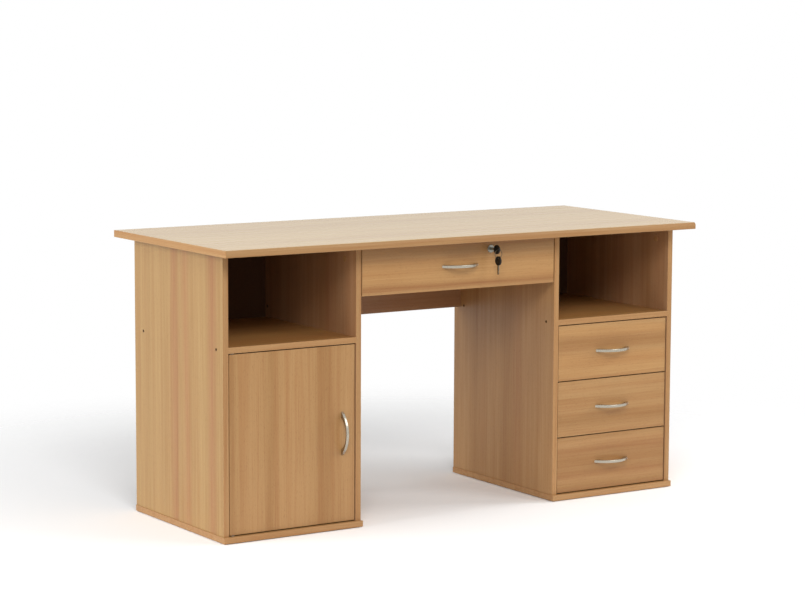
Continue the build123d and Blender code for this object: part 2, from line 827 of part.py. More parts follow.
with BuildPart() as lock_key:
    block((lock_x - key_blade_thickness / 2, bow_back - blade_in_bow, lock_z - key_blade_width / 2),
          (lock_x + key_blade_thickness / 2, keyway_back - 2 * key_blade_slack,
           lock_z + key_blade_width / 2))
    key_plane = Plane(origin=(lock_x, bow_middle, lock_z), x_dir=(0, 0, -1), z_dir=(1, 0, 0))
    extrude(bow_sketch(key_plane), amount=bow_thickness / 2, both=True)
save(lock_key, "lock_key")

ring_z = lock_z - ring_radius
with BuildPart() as key_ring:
    with BuildSketch(Plane(origin=(lock_x, ring_hole_y, lock_z), z_dir=(1, 0, 0))):
        Circle(ring_wire)
    revolve(axis=Axis((lock_x, ring_hole_y, ring_z), (0, 1, 0)))
save(key_ring, "key_ring")

spare_hole_z = lock_z - 2 * ring_radius
spare_bow_z = spare_hole_z + bow_hole_inset - bow_length / 2
with BuildPart() as spare_key:
    spare_plane = Plane(origin=(lock_x, ring_hole_y, spare_bow_z), x_dir=(0, 1, 0), z_dir=(-1, 0, 0))
    extrude(bow_sketch(spare_plane), amount=bow_thickness / 2, both=True)
    spare_bow_end = spare_bow_z - bow_length / 2
    block((lock_x - key_blade_thickness / 2, ring_hole_y - key_blade_width / 2,
           spare_bow_end - spare_blade),
          (lock_x + key_blade_thickness / 2, ring_hole_y + key_blade_width / 2,
           spare_bow_end + blade_in_bow))
save(spare_key, "spare_key")

print("drawer front height", round(drawer_front_height, 3))
print("bolt lift", round(bolt_lift, 4))
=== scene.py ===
# %% [markdown]
# A pedestal desk of beech-effect melamine board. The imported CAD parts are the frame: every piece keeps
# the place and the body that it has there. The boards are copied and given fine edges, the keys are
# modelled again with their blades and rims, and the rest gets its finish on the CAD parts themselves.

# %% Load the frame
import json
from math import radians

import bpy
from mathutils import Matrix, Vector

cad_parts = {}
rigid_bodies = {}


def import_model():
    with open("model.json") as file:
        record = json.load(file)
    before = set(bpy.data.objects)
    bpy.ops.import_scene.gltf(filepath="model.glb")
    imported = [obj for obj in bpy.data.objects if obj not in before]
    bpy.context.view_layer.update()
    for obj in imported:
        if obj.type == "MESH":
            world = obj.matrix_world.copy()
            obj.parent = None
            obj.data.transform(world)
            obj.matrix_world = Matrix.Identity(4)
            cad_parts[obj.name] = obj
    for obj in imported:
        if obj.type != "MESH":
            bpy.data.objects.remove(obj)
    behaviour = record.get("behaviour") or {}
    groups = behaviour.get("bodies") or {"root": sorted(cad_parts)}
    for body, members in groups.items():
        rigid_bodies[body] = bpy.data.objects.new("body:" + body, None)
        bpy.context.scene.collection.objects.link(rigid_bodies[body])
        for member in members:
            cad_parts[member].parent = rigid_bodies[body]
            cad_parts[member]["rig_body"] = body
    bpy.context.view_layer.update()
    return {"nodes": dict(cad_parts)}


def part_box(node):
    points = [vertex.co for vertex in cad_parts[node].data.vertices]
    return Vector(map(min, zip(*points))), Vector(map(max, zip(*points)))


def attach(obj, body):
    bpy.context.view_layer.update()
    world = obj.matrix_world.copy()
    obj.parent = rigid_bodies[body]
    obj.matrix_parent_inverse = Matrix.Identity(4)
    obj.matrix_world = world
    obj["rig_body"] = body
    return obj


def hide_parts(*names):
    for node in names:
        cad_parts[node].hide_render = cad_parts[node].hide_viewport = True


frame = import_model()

# %% [markdown]
# The camera comes first, because every finish is judged through it. A long lens from the desk's front
# left, a little above the worktop, keeps the uprights nearly parallel, as in a catalogue. The lens is
# given in millimetres for Blender's sensor, 36 mm wide.

# %% Camera
SENSOR_MM, LENS_MM = 36.0, 114.04
CAMERA_PLACE = (-3.6686, -5.6498, 1.3869)
CAMERA_PAN, CAMERA_TILT, CAMERA_ROLL = -32.8143, -7.1882, 0.2493      # degrees: to the left, down, over

camera_data = bpy.data.cameras.new("studio_camera")
camera_data.sensor_width = SENSOR_MM
camera_data.lens = LENS_MM
camera_data.clip_end = 60.0
camera = bpy.data.objects.new("studio_camera", camera_data)
bpy.context.scene.collection.objects.link(camera)
camera.matrix_world = (
    Matrix.Translation(CAMERA_PLACE)
    @ Matrix.Rotation(radians(CAMERA_PAN), 4, "Z")
    @ Matrix.Rotation(radians(90.0 + CAMERA_TILT), 4, "X")
    @ Matrix.Rotation(radians(CAMERA_ROLL), 4, "Z")
)
bpy.context.scene.camera = camera
print("camera height, metres:", camera.location.z)

# %% [markdown]
# Three small helpers serve the light and every finish. Colours are written as sRGB hex values, as on a
# paint card, and turned to the linear values that Blender's sockets take. One function adds a node with
# its settings and links, and one starts a material and hands back its shader.

# %% Helpers for light and finishes
def linear(paint):
    """Turn an sRGB hex colour such as "#C4A073" to linear red, green, blue and alpha."""
    channels = [int(paint[i:i + 2], 16) / 255 for i in (1, 3, 5)]
    return (*[c / 12.92 if c <= 0.04045 else ((c + 0.055) / 1.055) ** 2.4 for c in channels], 1.0)


def add(tree, kind, links=None, values=None, **settings):
    """Add a node: settings are its own fields, values its unlinked inputs, links its linked ones."""
    node = tree.nodes.new("ShaderNode" + kind)
    for field, value in settings.items():
        setattr(node, field, value)
    for key, value in (values or {}).items():
        node.inputs[key].default_value = value
    for key, socket in (links or {}).items():
        tree.links.new(socket, node.inputs[key])
    return node


def start(name, **values):
    """Start a material, with constants set on the shader's own sockets."""
    material = bpy.data.materials.new(name)
    material.use_nodes = True
    shader = material.node_tree.nodes["Principled BSDF"]
    for key, value in values.items():
        shader.inputs[key.replace("_", " ")].default_value = value
    return material, material.node_tree, shader


print("orange tan in linear light:", [round(v, 3) for v in linear("#C4A073")])

# %% [markdown]
# The light is a white studio. Softboxes stand in front, on both sides and behind the left side, so that
# every upright face is lit a little differently. The high one in front puts a soft shadow under the
# worktop's overhang. Only the small near one is mirrored, in the metal: the others would glare in the
# worktop. The white world is what the camera and the glossy worktop see, but it sends little diffuse
# light, or the open compartments would lose their depth.

# %% Studio light
DIFFUSE_SHARE = 0.25           # of the world's white that reaches matt surfaces

bpy.context.scene.view_settings.view_transform = "Standard"
world = bpy.data.worlds.new("white_studio")
world.use_nodes = True
background = world.node_tree.nodes["Background"]
background.inputs["Color"].default_value = linear("#FFFFFF")
ray = add(world.node_tree, "LightPath")
strength = add(world.node_tree, "Math", {0: ray.outputs["Is Diffuse Ray"]},
               {1: DIFFUSE_SHARE - 1.0, 2: 1.0}, operation="MULTIPLY_ADD")
world.node_tree.links.new(strength.outputs[0], background.inputs["Strength"])
bpy.context.scene.world = world


def softbox(name, place, target, size, power, mirrored=False):
    """Add an area light of a size in metres and a power in watts, turned to face the target."""
    light = bpy.data.lights.new(name, "AREA")
    light.shape = "RECTANGLE"
    light.size, light.size_y = size
    light.energy = power
    lamp = bpy.data.objects.new(name, light)
    bpy.context.scene.collection.objects.link(lamp)
    lamp.visible_glossy = mirrored
    away = Vector(place) - Vector(target)
    lamp.matrix_world = Matrix.Translation(place) @ away.to_track_quat("Z", "Y").to_matrix().to_4x4()
    print(name, "stands", round(away.length, 2), "m away")


# name, place and target in metres, size, power
softbox("high_front_softbox", (-1.6, -2.8, 2.6), (0.0, -0.2, 0.4), (1.4, 1.2), 62.0)
softbox("low_front_softbox", (-2.8, -2.4, 1.2), (0.0, -0.2, 0.4), (1.4, 1.2), 12.0)
softbox("near_right_softbox", (1.5, -2.2, 2.1), (0.4, -0.2, 0.5), (1.2, 1.2), 20.0, mirrored=True)
softbox("left_softbox", (-3.4, 0.2, 1.6), (-0.7, 0.0, 0.5), (1.8, 1.8), 65.0)
softbox("right_softbox", (3.2, -0.8, 1.3), (0.7, 0.0, 0.4), (1.8, 1.8), 88.0)
softbox("back_left_softbox", (-2.5, 2.6, 1.6), (0.0, 0.0, 0.4), (1.8, 1.8), 20.0)

# %% [markdown]
# Beech-effect melamine is chipboard pressed with a printed, resin-filled paper. The print has broad soft
# bands, 20 to 60 mm wide, that drift between yellow tan and pink tan, then streaks 14 and 6 mm wide, fine
# fibres, and the short dark flecks that tell beech from other woods. Real fibres are under half a
# millimetre and real flecks 0.5 by 3 mm: both are drawn a few times coarser, so that they show. The
# resin gives a satin surface, with an IOR near 1.5 and a roughness near 0.4.
#
# The bands are a colour ramp across the board, pushed sideways by a slow noise. The other layers are
# noise stretched along the grain, and each darkens the print a little more. The fibres also stand in
# for the pressed pores, which vary the gloss and the bump.

# %% Beech-effect melamine
X, Y, Z = 0, 1, 2
BOARD_IOR = 1.5
# Palest, pale, tan, reddish, dark and darkest red bands of the print, on its papers
TONES = {
    "beech": {"w": "#B48A57", "p": "#AE8656", "t": "#AA8252", "r": "#A77C4D", "d": "#A07747", "k": "#9C6F41"},
    "yellow beech": {"p": "#AE8B57", "t": "#AA8753", "r": "#AB7F50", "d": "#A47649"},
    "pale beech": {"p": "#D1B47D", "t": "#CDB079", "r": "#C8A872"},
    # The rosier paper is a painted tint of shade, for the faces inside the compartments and over the kneehole.
    "painted shade beech": {"w": "#BD926C", "p": "#AE8663", "t": "#AA825F", "r": "#A77C5A", "d": "#A07752"},
    "beech strip": {"w": "#B58C5E", "p": "#AF885D", "t": "#AB8459"},
    "pale beech strip": {"w": "#C29865", "p": "#BC9364", "t": "#B78F60"},
}
BAND_DRIFT = 0.05              # metres that a band may wander sideways
BAND_DRIFT_MM = (90.0, 900.0)  # how soon it does, across and along the grain
# Width and length in mm, noise detail, where in the noise the tint starts and is full, tint, share of it
LAYERS = (
    (14.0, 700.0, 2.0, 0.40, 0.66, "#E8D1B9", 0.45),     # streaks
    (2.2, 140.0, 2.0, 0.40, 0.70, "#D6B592", 0.24),      # fibres
    (6.0, 500.0, 2.0, 0.54, 0.74, "#D9BE9E", 0.22),      # narrow streaks
    (1.5, 8.0, 1.0, 0.60, 0.72, "#A87B52", None),        # flecks, whose share each print gives
)
FIBRES = 1                     # the layer that the gloss and the bump follow


def ramp_stops(node, tones):
    """Fill a colour ramp with evenly spaced hex colours."""
    stops = node.color_ramp.elements
    while len(stops) < len(tones):
        stops.new(1.0)
    for i, paint in enumerate(tones):
        stops[i].position = i / (len(tones) - 1)
        stops[i].color = linear(paint)


def streaks(tree, place, grain, across_mm, along_mm, detail, seed):
    """A 0 to 1 pattern whose spots are across_mm wide and along_mm long in the grain's direction."""
    scale = [1000.0 / across_mm] * 3
    scale[grain] = 1000.0 / along_mm
    stretched = add(tree, "Mapping", {"Vector": place}, {"Scale": scale, "Location": (seed, seed, seed)})
    noise = add(tree, "TexNoise", {"Vector": stretched.outputs["Vector"]},
                {"Scale": 1.0, "Detail": detail, "Roughness": 0.55})
    return noise.outputs["Fac"]


def banded(tree, place, grain, across, span, paints, seed):
    """The print's broad bands, spread over the span in metres, that don't run like ruled lines."""
    drift = streaks(tree, place, grain, *BAND_DRIFT_MM, 2.0, seed + 3.1)
    position = add(tree, "SeparateXYZ", {"Vector": place}).outputs[across]
    drifted = add(tree, "Math", {0: drift, 2: position}, {1: BAND_DRIFT}, operation="MULTIPLY_ADD")
    at = add(tree, "MapRange", {"Value": drifted.outputs[0]},
             {"From Min": span[0] + BAND_DRIFT / 2, "From Max": span[1] + BAND_DRIFT / 2})
    bands = add(tree, "ValToRGB", {"Fac": at.outputs["Result"]})
    ramp_stops(bands, paints)
    return bands.outputs["Color"]


def melamine(name, grain, across, span, tones, roughness=0.40, seed=0.0, fleck=0.22, relief=0.12,
             paper="beech", shine=0.5):
    """Beech-effect melamine: the letters of tones are its bands, spread over the span in metres."""
    material, tree, shader = start(name, IOR=BOARD_IOR, Specular_IOR_Level=shine)
    place = add(tree, "TexCoord").outputs["Object"]
    colour = banded(tree, place, grain, across, span, [TONES[paper][letter] for letter in tones], seed)
    for i, (width, length, detail, low, high, tint, amount) in enumerate(LAYERS):
        pattern = streaks(tree, place, grain, width, length, detail, seed + i)
        share = add(tree, "MapRange", {"Value": pattern},
                    {"From Min": low, "From Max": high, "To Max": fleck if amount is None else amount},
                    clamp=True)
        mixed = add(tree, "MixRGB", {"Fac": share.outputs["Result"], "Color1": colour},
                    {"Color2": linear(tint)}, blend_type="MULTIPLY")
        colour = mixed.outputs["Color"]
        if i == FIBRES:
            fibres = pattern
    tree.links.new(colour, shader.inputs["Base Color"])
    gloss = add(tree, "MapRange", {"Value": fibres},
                {"To Min": roughness - 0.3 * relief, "To Max": roughness + 0.5 * relief})
    tree.links.new(gloss.outputs["Result"], shader.inputs["Roughness"])
    pores = add(tree, "Bump", {"Height": fibres}, {"Strength": relief, "Distance": 0.0002})
    tree.links.new(pores.outputs["Normal"], shader.inputs["Normal"])
    return material


print("papers:", ", ".join(TONES))

# %% [markdown]
# A board's edge is covered with a strip of printed plastic, duller than its faces and with the grain
# along it. Where strip and face meet, the trimmed corner shows a thin line of glue and bare paper,
# paler where hands and feet have worn it. That corner is a real bevel, 0.5 mm wide.

# %% Edge strip and worn corner
STRIP_BANDS = "ptppwt"
STRIP_ROUGHNESS, STRIP_FLECK, STRIP_SHINE = 0.42, 0.2, 0.25
# Spans of the prints that aren't fitted to one board, metres
DESK_LENGTH, DESK_DEPTH, DESK_HEIGHT = (-0.7, 0.7), (-0.3, 0.3), (0.0, 0.735)


def strip(name, grain, across, span, seed, paper="beech strip"):
    """Printed plastic strip, with the grain along it."""
    return melamine(name, grain, across, span, STRIP_BANDS, STRIP_ROUGHNESS, seed, STRIP_FLECK,
                    paper=paper, shine=STRIP_SHINE)


edge_strip = {
    X: strip("beech_edge_strip_level", X, Z, DESK_HEIGHT, 5.0),
    Y: strip("beech_edge_strip_deep", Y, Z, DESK_HEIGHT, 6.0),
    Z: strip("beech_edge_strip_upright", Z, X, DESK_LENGTH, 7.0),
}


def worn_corner(name, glue, bare):
    """The trimmed corner: a glue line that is paler where it has rubbed, in patches of about 45 mm."""
    material, tree, shader = start(name, Roughness=0.55, IOR=BOARD_IOR)
    place = add(tree, "TexCoord").outputs["Object"]
    rubbed = add(tree, "TexNoise", {"Vector": place}, {"Scale": 22.0, "Detail": 4.0, "Roughness": 0.6})
    mix = add(tree, "ValToRGB", {"Fac": rubbed.outputs["Fac"]})
    ramp_stops(mix, (glue, glue, bare, bare))
    tree.links.new(mix.outputs["Color"], shader.inputs["Base Color"])
    return material


corner = worn_corner("trimmed_board_corner", "#93704A", "#C7A47B")
print("edge strips:", [m.name for m in edge_strip.values()])

# %% [markdown]
# The boards. A board on the desk is a flat sheet with holes and grooves that the CAD part already has,
# so its mesh is copied, not drawn again: the copy is merged, its flat triangles are dissolved to whole
# faces, and a Bevel modifier trims its corners. A Weighted Normal modifier then keeps the faces flat.

# %% Copy a board from its CAD part
TRIM = 0.0005                  # bevel of a trimmed corner, metres
ALONG_AXIS = 0.9               # a normal with more than this along an axis looks along it
FACE, EDGE, CORNER, OUTSIDE = range(4)
slots = {name: part.data.materials[0].name for name, part in frame["nodes"].items()}


def only(piece):
    """Make one object the only selected one, and the active one."""
    bpy.ops.object.select_all(action="DESELECT")
    piece.select_set(True)
    bpy.context.view_layer.objects.active = piece


def stand_for(piece, *nodes):
    """Let a piece ride with the first CAD node's body and stand in for the CAD nodes, which are hidden."""
    first = frame["nodes"][nodes[0]]
    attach(piece, first["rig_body"])
    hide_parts(*nodes)


def board(node, flat, face, edge, trim=TRIM, outside=None):
    """Copy a board, with its own face material, an edge strip round it and trimmed corners.

    Where outside is given, it is the print of the face that looks along the flat axis.
    """
    piece = bpy.data.objects.new(node + "_board", frame["nodes"][node].data.copy())
    bpy.context.scene.collection.objects.link(piece)
    piece.data.materials.clear()
    for material in (face, edge, corner, outside or face):      # FACE, EDGE, CORNER, OUTSIDE
        piece.data.materials.append(material)
    only(piece)
    bpy.ops.mesh.customdata_custom_splitnormals_clear()
    bpy.ops.object.mode_set(mode="EDIT")
    bpy.ops.mesh.select_all(action="SELECT")
    bpy.ops.mesh.remove_doubles(threshold=0.00001)
    bpy.ops.mesh.dissolve_limited(angle_limit=radians(1.0))
    bpy.ops.object.mode_set(mode="OBJECT")
    for side in piece.data.polygons:
        looks = side.normal[flat]
        side.material_index = OUTSIDE if looks > ALONG_AXIS else FACE if looks < -ALONG_AXIS else EDGE
    bevel = piece.modifiers.new("trimmed_corner", "BEVEL")
    bevel.width = trim
    bevel.segments = 2
    bevel.limit_method = "ANGLE"
    bevel.angle_limit = radians(50.0)
    bevel.material = CORNER
    bpy.ops.object.modifier_apply(modifier=bevel.name)
    bpy.ops.object.shade_smooth_by_angle(angle=radians(35.0))
    level = piece.modifiers.new("flat_faces", "WEIGHTED_NORMAL")
    level.keep_sharp = True
    bpy.ops.object.modifier_apply(modifier=level.name)
    stand_for(piece, node)
    return piece


def span_of(node, axis):
    """A node's extent along an axis, in metres."""
    low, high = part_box(node)
    return low[axis], high[axis]


print("material slots on the CAD parts:", ", ".join(sorted(set(slots.values()))))

# %% [markdown]
# Each board has a print of its own, as sheets from one stack do. Its bands are written as letters, from
# one edge of the board to the other. Some bands are painted light and painted shade instead of print, as
# noted at each board. The faces inside the compartments and over the kneehole get a rosier copy of their
# print: that is a painted tint of shade.

# %% Boards of the desk
PRINTS = {
    # node: (flat axis, grain, across, bands across the board, seed)
    "worktop_board": (Z, X, Y, "tptrtptptttrtptt", 1.0),
    "left_outer_side": (X, Z, Y, "ttdtpptrtdptpptppp", 2.0),
    # The first two bands, ww at the board's front, are painted light: the light that comes in at the
    # compartment's open front.
    "left_inner_side": (X, Z, Y, "wwptrdttptttprtt", 3.0),
    # Besides the print, the pale bands at the front and back ends of the kneehole's right wall and the dark
    # ones between are painted light: light reaches it through the kneehole's open front and under the back
    # rail.
    "right_inner_side": (X, Z, Y, "ppptptrddttttdtppt", 4.0),
    "right_outer_side": (X, Z, Y, "tptdtptrptptdtpt", 5.0),
    # The shelves are printed only in dark and darkest bands: that is painted shade, for the shade inside the
    # compartments.
    "left_shelf": (Z, X, Y, "dkddrkdd", 6.0),
    "right_shelf": (Z, X, Y, "dddrddkd", 7.0),
    "left_base": (Z, X, Y, "tptrtt", 8.0),
    "right_base": (Z, X, Y, "trtptt", 9.0),
    "back_rail": (Y, X, Z, "tdtptrtt", 10.0),
    "door_panel": (Y, Z, X, "dtppptdtpppptddttpp", 11.0),
    # The centre drawer front's last two bands, dk at its top, are a painted shadow of the worktop's overhang.
    "centre_drawer_front": (Y, X, Z, "pkwwwwpdk", 12.0),
    "upper_drawer_front": (Y, X, Z, "pwwwwtdtwwp", 13.0),
    "middle_drawer_front": (Y, X, Z, "ptddtttppt", 14.0),
    "lower_drawer_front": (Y, X, Z, "kdtkdddkpd", 15.0),
}
PAPERS = {"worktop_board": "pale beech", "left_outer_side": "yellow beech"}
ROUGHNESS = {"worktop_board": 0.27}      # the worktop is pressed against a smoother plate
RELIEF = {"worktop_board": 0.03}
# These boards' faces towards -X or -Y, inside the compartments and over the kneehole, get a rosier copy of
# their print: a painted tint of shade.
PAINTED_SHADE_INSIDE = ("left_inner_side", "right_outer_side", "back_rail")    # their faces towards -X or -Y
for node, (flat, grain, across, tones, seed) in PRINTS.items():
    face = melamine("beech_melamine_" + node, grain, across, span_of(node, across), tones,
                    ROUGHNESS.get(node, 0.40), seed, relief=RELIEF.get(node, 0.12),
                    paper=PAPERS.get(node, "beech"))
    outside = None
    if node in PAINTED_SHADE_INSIDE:
        outside = face
        face = melamine("painted_shade_beech_melamine_" + node, grain, across, span_of(node, across), tones,
                        seed=seed + 0.5, paper="painted shade beech")
    piece = board(node, flat, face, edge_strip[grain], outside=outside)
    print(piece.name, len(piece.data.polygons), "faces")

# %% [markdown]
# The drawer boxes are of thinner board wrapped in the same print, without bands of their own, so they
# share one material for each direction of grain. The drawer bottoms are printed hardboard, a thin sheet
# whose corners are barely trimmed.

# %% Drawer boxes
BOX_TRIM, SHEET_TRIM = 0.0004, 0.0002
BOX_BANDS = "tptptrtptpt"
box_side = melamine("beech_foil_drawer_side", Y, Z, DESK_HEIGHT, BOX_BANDS, 0.5, 21.0)
box_back = melamine("beech_foil_drawer_back", X, Z, DESK_HEIGHT, BOX_BANDS, 0.5, 22.0)
printed_hardboard = melamine("printed_hardboard", X, Y, DESK_DEPTH, "tptrtptt", 0.55, 23.0)
for drawer in ("upper_drawer", "middle_drawer", "lower_drawer", "centre_drawer"):
    sides = board(drawer + "_sides", X, box_side, edge_strip[Y], BOX_TRIM)
    board(drawer + "_back", Y, box_back, edge_strip[X], BOX_TRIM)
    board(drawer + "_bottom", Z, printed_hardboard, corner, SHEET_TRIM)
    print(sides.name, len(sides.data.polygons), "faces")

# %% [markdown]
# The pedestal backs are plain hardboard: wood pulp, pressed and tempered with oil. That makes it dark
# and matt, with a fine felted mottle of two or three millimetres.

# %% Pedestal backs
oiled, oiled_tree, oiled_shader = start("oil_tempered_hardboard", IOR=BOARD_IOR, Roughness=0.8,
                                        Specular_IOR_Level=0.2)
pulp_place = add(oiled_tree, "TexCoord").outputs["Object"]
pulp = add(oiled_tree, "TexNoise", {"Vector": pulp_place}, {"Scale": 420.0, "Detail": 4.0, "Roughness": 0.7})
pulp_tones = add(oiled_tree, "ValToRGB", {"Fac": pulp.outputs["Fac"]})
ramp_stops(pulp_tones, ("#4A3527", "#5C4332", "#6A4F3C"))
oiled_tree.links.new(pulp_tones.outputs["Color"], oiled_shader.inputs["Base Color"])
pulp_relief = add(oiled_tree, "Bump", {"Height": pulp.outputs["Fac"]}, {"Strength": 0.2, "Distance": 0.0002})
oiled_tree.links.new(pulp_relief.outputs["Normal"], oiled_shader.inputs["Normal"])
for back in ("left_back", "right_back"):
    piece = board(back, Y, oiled, oiled, SHEET_TRIM)
    print(piece.name, len(piece.data.polygons), "faces")

# %% [markdown]
# The worktop's sides and back have a paler plastic strip than the other edges, as pale as its top. It is
# thick enough to be a part of its own, so it is finished as a board with one print all round.

# %% Worktop edging
edging_print = strip("beech_worktop_edging", Y, Z, DESK_HEIGHT, 8.0, "pale beech strip")
edging = board("worktop_edging", X, edging_print, edging_print, BOX_TRIM)
print(edging.name, len(edging.data.polygons), "faces")

# %% [markdown]
# The metals. The bows are zinc castings plated in satin nickel: metallic, a warm grey, with a roughness
# of 0.2 to 0.3 that varies with the brushing. The lock and the keys' blades have an older, duller nickel.
# Screws and bolts are zinc plated steel, cooler and blotchier. The carcass screws are bronzed, nearly as
# brown as the board. One function makes them all, as plating is a thin coat whose gloss and colour vary
# over a millimetre or two.

# %% Metals
def metal(name, paint, dark, low_gloss, high_gloss, grain_mm):
    """Plated metal whose gloss and colour vary with a fine pattern."""
    material, tree, shader = start(name, Metallic=1.0)
    place = add(tree, "TexCoord").outputs["Object"]
    pattern = add(tree, "TexNoise", {"Vector": place},
                  {"Scale": 1000.0 / grain_mm, "Detail": 3.0, "Roughness": 0.6}).outputs["Fac"]
    tones = add(tree, "ValToRGB", {"Fac": pattern})
    ramp_stops(tones, (dark, paint, paint))
    tree.links.new(tones.outputs["Color"], shader.inputs["Base Color"])
    gloss = add(tree, "MapRange", {"Value": pattern}, {"To Min": low_gloss, "To Max": high_gloss})
    tree.links.new(gloss.outputs["Result"], shader.inputs["Roughness"])
    relief = add(tree, "Bump", {"Height": pattern}, {"Strength": 0.08, "Distance": 0.0001})
    tree.links.new(relief.outputs["Normal"], shader.inputs["Normal"])
    return material


# name, colour, its darker tone, lowest and highest roughness, pattern in mm
satin_nickel = metal("satin_nickel_plate", "#B5AE9F", "#8F8879", 0.20, 0.32, 1.2)
lock_nickel = metal("dull_nickel_plate", "#8F8B81", "#635F56", 0.20, 0.32, 1.5)
zinc = metal("zinc_plated_steel", "#BFC2C4", "#8D9195", 0.30, 0.50, 2.0)
ring_steel = metal("dull_spring_steel", "#6A6052", "#4C443A", 0.30, 0.45, 1.0)
bronze = metal("bronzed_steel", "#6E5232", "#4A341C", 0.35, 0.55, 1.0)
print("metals:", ", ".join(m.name for m in (satin_nickel, lock_nickel, zinc, ring_steel, bronze)))

# %% [markdown]
# The plastics are moulded: nylon glides and bushes, the catch's white case, the drawers' runner strips
# and the keys' black heads. Moulding leaves a fine, even texture, so the colour barely changes and the
# roughness and bump do the work. Their IOR is near 1.5.

# %% Plastics
MOULDED_IOR = 1.5
GLOSS_SPREAD = 0.15            # how much the roughness varies over a moulding


def plastic(name, paint, shade, gloss, grain_mm, **values):
    """Moulded plastic with a fine texture."""
    material, tree, shader = start(name, IOR=MOULDED_IOR, **values)
    place = add(tree, "TexCoord").outputs["Object"]
    pattern = add(tree, "TexNoise", {"Vector": place},
                  {"Scale": 1000.0 / grain_mm, "Detail": 2.0, "Roughness": 0.5}).outputs["Fac"]
    tones = add(tree, "ValToRGB", {"Fac": pattern})
    ramp_stops(tones, (shade, paint, paint))
    tree.links.new(tones.outputs["Color"], shader.inputs["Base Color"])
    rough = add(tree, "MapRange", {"Value": pattern}, {"To Min": gloss, "To Max": gloss + GLOSS_SPREAD})
    tree.links.new(rough.outputs["Result"], shader.inputs["Roughness"])
    relief = add(tree, "Bump", {"Height": pattern}, {"Strength": 0.15, "Distance": 0.0001})
    tree.links.new(relief.outputs["Normal"], shader.inputs["Normal"])
    return material


nylon = plastic("moulded_nylon", "#8E8A82", "#7C786F", 0.45, 0.8)
catch_white = plastic("moulded_white_polystyrene", "#E4E1D9", "#D5D1C6", 0.35, 0.8)
runner = plastic("extruded_brown_pvc", "#9A7A54", "#8A6B48", 0.30, 1.0)
key_black = plastic("moulded_black_abs", "#0F0E0C", "#090807", 0.34, 0.6, Specular_IOR_Level=0.25)
FINISHES = {
    "satin_nickel": satin_nickel, "lock_nickel": lock_nickel, "zinc": zinc, "bronzed_steel": bronze,
    "nylon": nylon, "white_plastic": catch_white, "runner_plastic": runner, "key_black": key_black,
}
for name, part in frame["nodes"].items():
    if slots[name] in FINISHES:
        part.material_slots[0].material = FINISHES[slots[name]]
frame["nodes"]["key_ring"].material_slots[0].material = ring_steel
print("finished CAD parts:", sum(p.material_slots[0].material in FINISHES.values()
                               for p in frame["nodes"].values()))

# %% [markdown]
# The keys. Each has a flat steel blade with cuts along one edge, and a moulded black head, a disc with a
# raised rim and a hole for the ring. The head starts as a short cylinder whose two faces are inset and
# pressed in, a Boolean modifier drills the hole, and a Bevel modifier rounds the rim. The blade starts
# as a cube whose end is extruded step by step, each step as high as the key's cut there.

# %% Key heads and blades
HEAD_RADIUS, HEAD_THICKNESS = 0.012, 0.0044
HOLE_RADIUS, HOLE_INSET = 0.0026, 0.005        # the hole's centre is this far from the head's end
BLADE_THICKNESS, BLADE_WIDTH, BLADE_IN_HEAD = 0.002, 0.007, 0.004
CUTS = (1.0, 0.72, 0.9, 0.66, 0.86, 0.78, 0.6, 0.88, 0.7, 0.92, 0.8, 0.5)    # heights along the blade


def use(piece, kind, **settings):
    """Add a modifier with its settings and apply it."""
    modifier = piece.modifiers.new(kind.lower(), kind)
    for field, value in settings.items():
        setattr(modifier, field, value)
    bpy.ops.object.modifier_apply(modifier=modifier.name)


def select_faces(piece, wanted):
    """In edit mode, select the faces that pass a test of their centre and normal."""
    bpy.ops.mesh.select_mode(type="FACE")
    bpy.ops.mesh.select_all(action="DESELECT")
    bpy.ops.object.mode_set(mode="OBJECT")
    for side in piece.data.polygons:
        side.select = bool(wanted(side.center, side.normal))
    bpy.ops.object.mode_set(mode="EDIT")


def key_head():
    """A moulded head in the YZ plane, its middle at the origin and its ring hole towards -Y."""
    bpy.ops.object.select_all(action="DESELECT")
    bpy.ops.mesh.primitive_cylinder_add(vertices=20, radius=HOLE_RADIUS, depth=0.02,
                                        location=(0.0, HOLE_INSET - HEAD_RADIUS, 0.0),
                                        rotation=(0.0, radians(90.0), 0.0))
    drill = bpy.context.active_object
    bpy.ops.mesh.primitive_cylinder_add(vertices=48, radius=HEAD_RADIUS, depth=HEAD_THICKNESS,
                                        rotation=(0.0, radians(90.0), 0.0))
    head = bpy.context.active_object
    only(head)
    bpy.ops.object.transform_apply(location=True, rotation=True, scale=True)
    bpy.ops.object.mode_set(mode="EDIT")
    select_faces(head, lambda centre, normal: abs(normal.x) > 0.9)
    bpy.ops.mesh.inset(thickness=0.0013, depth=0.0)
    bpy.ops.mesh.inset(thickness=0.0004, depth=-0.0006)
    bpy.ops.object.mode_set(mode="OBJECT")
    use(head, "BOOLEAN", operation="DIFFERENCE", object=drill, solver="EXACT")
    use(head, "BEVEL", width=0.0004, segments=3, limit_method="ANGLE", angle_limit=radians(40.0))
    bpy.data.objects.remove(drill)
    bpy.ops.object.shade_smooth_by_angle(angle=radians(35.0))
    head.data.materials.append(key_black)
    return head


